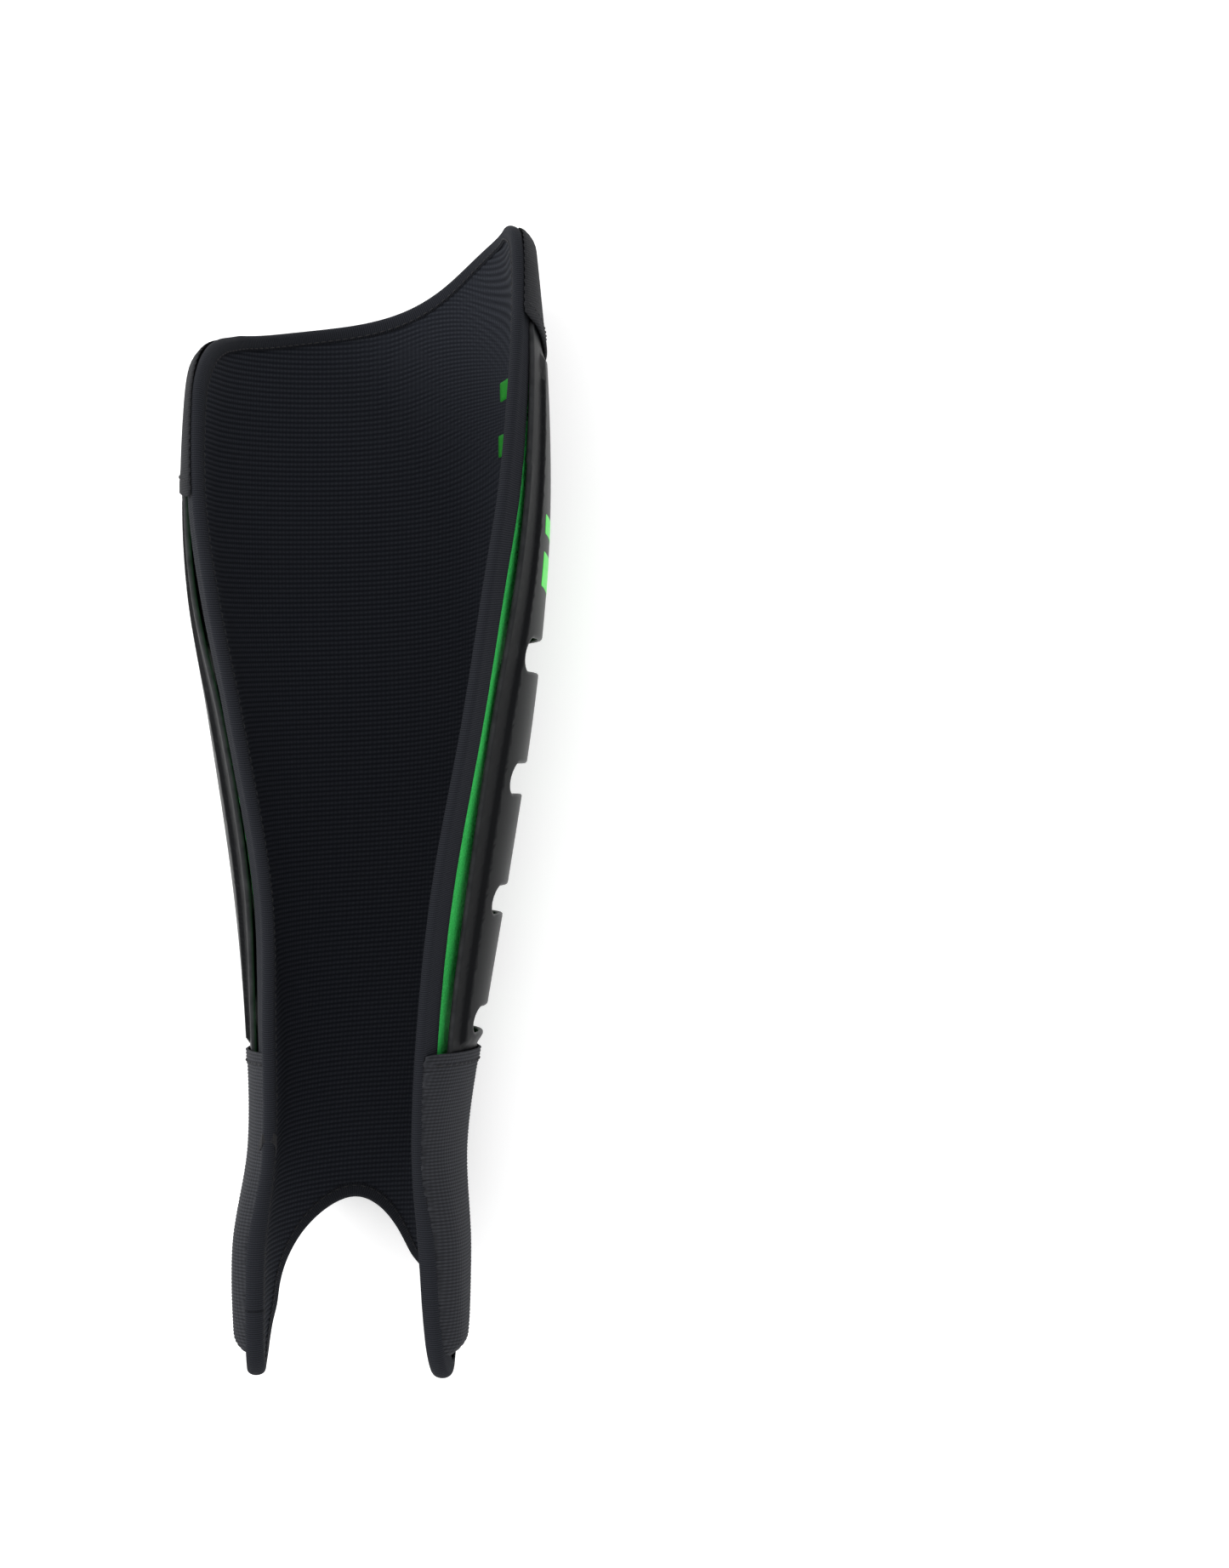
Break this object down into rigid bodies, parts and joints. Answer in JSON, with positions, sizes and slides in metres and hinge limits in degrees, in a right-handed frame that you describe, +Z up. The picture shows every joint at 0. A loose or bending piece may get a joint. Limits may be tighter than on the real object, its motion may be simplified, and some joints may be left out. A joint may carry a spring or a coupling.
{
  "type": "field hockey shin guard",
  "caption": "Shin guard for the lower leg: a black vented shell over a green foam pad with knit lining, bound edges, a knee-end cap pocket and a ribbed ankle sleeve.",
  "frame": {"origin": "middle of the bounding box seen from above, on the surface that the guard lies on, shell down", "axes": "+Z up, out of the hollow that takes the shin; +Y along the shin to the knee end; +X to the side that carries the knee peak"},
  "size_m": [0.1301, 0.4156, 0.0998],
  "materials": {
    "shell_plastic": "satin",
    "print_green": "semi gloss ink",
    "foam_green": "fine closed-cell foam",
    "lining_knit": "ribbed knit",
    "binding_tape": "fine cross-ribbed tape",
    "cap_fabric": "smooth stretch knit",
    "sleeve_fabric": "ribbed elastic",
    "foam_black": "soft foam",
    "thread": "sewing thread"
  },
  "bodies": {
    "root": {"shell": "shell_plastic", "shell_mark": "print_green", "shin_foam": "foam_green", "lining": "lining_knit", "edge_binding": "binding_tape", "binding_tack": "thread", "top_cap": "cap_fabric", "ankle_sleeve": "sleeve_fabric", "outer_ankle_cup": "foam_black", "peak_side_ankle_cup": "foam_black"}
  },
  "joints": []
}
